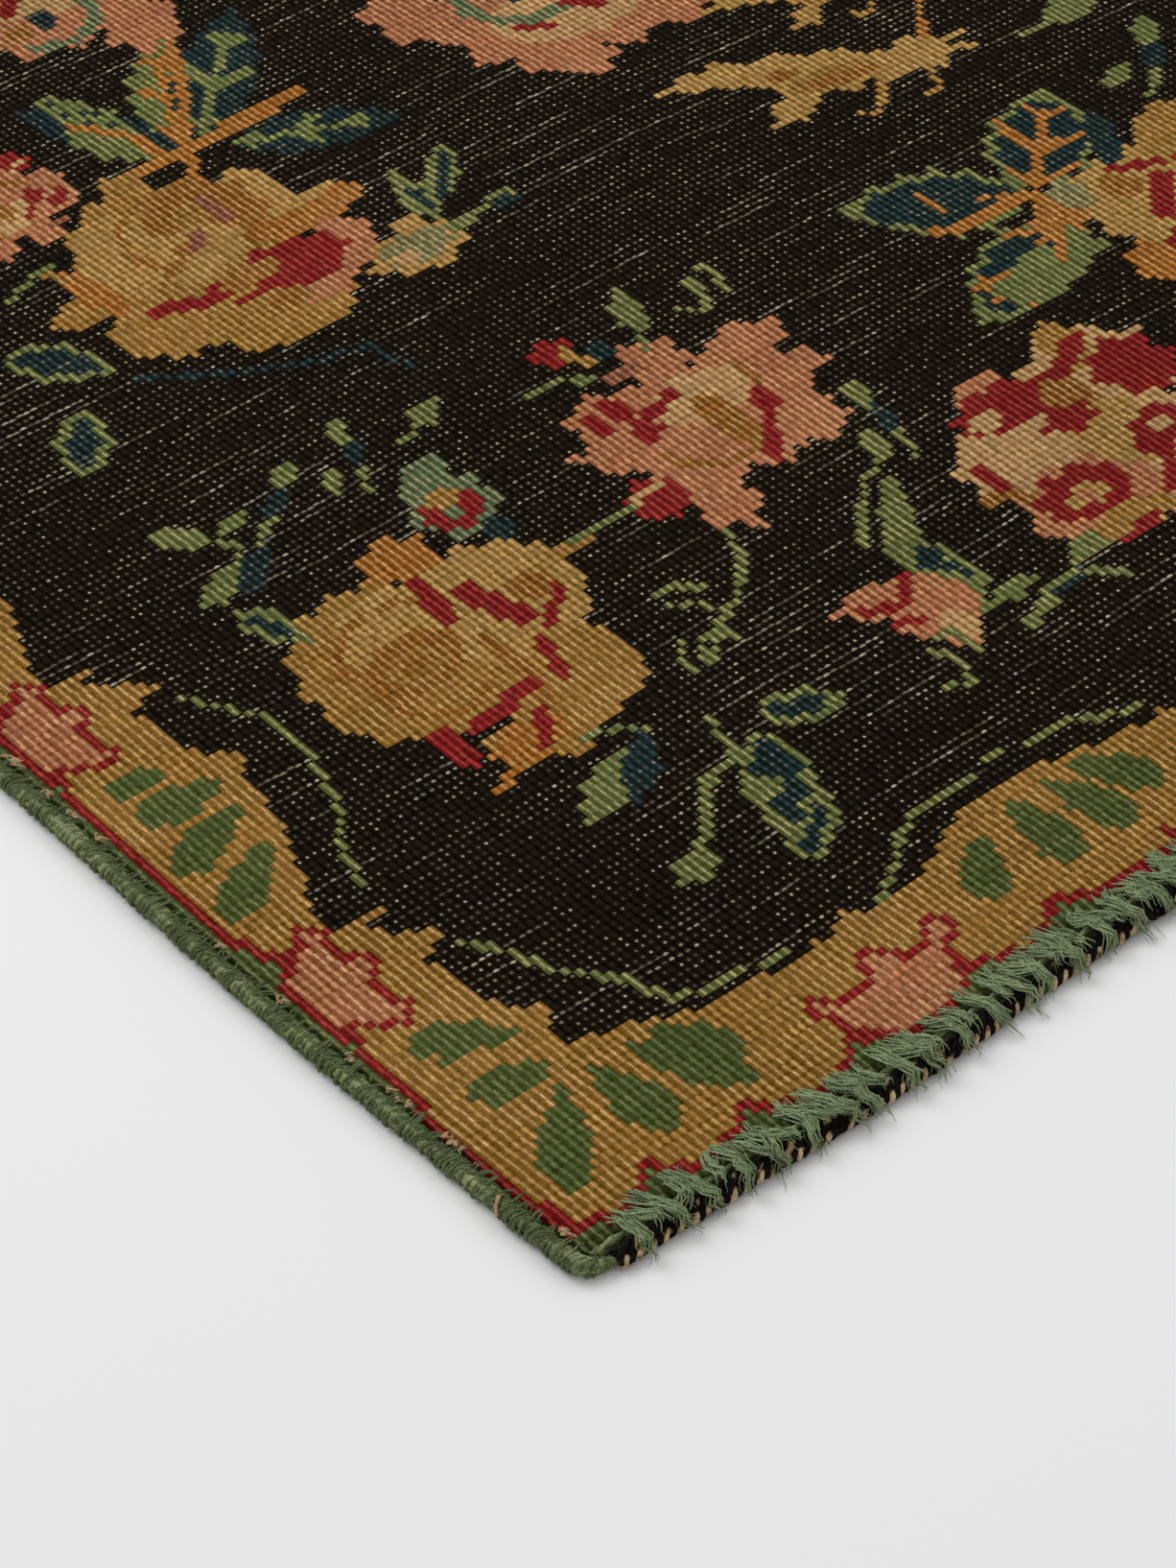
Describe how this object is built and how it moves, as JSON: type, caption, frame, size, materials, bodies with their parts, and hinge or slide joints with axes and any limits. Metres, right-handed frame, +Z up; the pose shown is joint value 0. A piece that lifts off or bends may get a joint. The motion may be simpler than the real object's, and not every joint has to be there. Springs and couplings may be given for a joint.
{
  "type": "wool carpet",
  "caption": "Flat hand-knotted wool carpet with a dark flowered field, scalloped border, overcast sides and whip-stitched rope ends.",
  "frame": {"origin": "under the middle of the carpet, on the surface that it lies on", "axes": "+X across the carpet along its ends, +Y along its warps from the near end to the far end, +Z up out of the pile"},
  "size_m": [1.1202, 1.6326, 0.0093],
  "materials": {
    "pile": "worn wool pile, matte",
    "selvedge_yarn": "green wool yarn, matte",
    "rope_yarn": "black and beige wool yarn, matte",
    "stitch_yarn": "frayed green wool yarn, matte"
  },
  "bodies": {
    "root": {"carpet": "pile", "selvedge_left": "selvedge_yarn", "selvedge_right": "selvedge_yarn", "end_rope_near": "rope_yarn", "end_rope_far": "rope_yarn", "whip_stitch_near": "stitch_yarn", "whip_stitch_far": "stitch_yarn"}
  },
  "joints": []
}
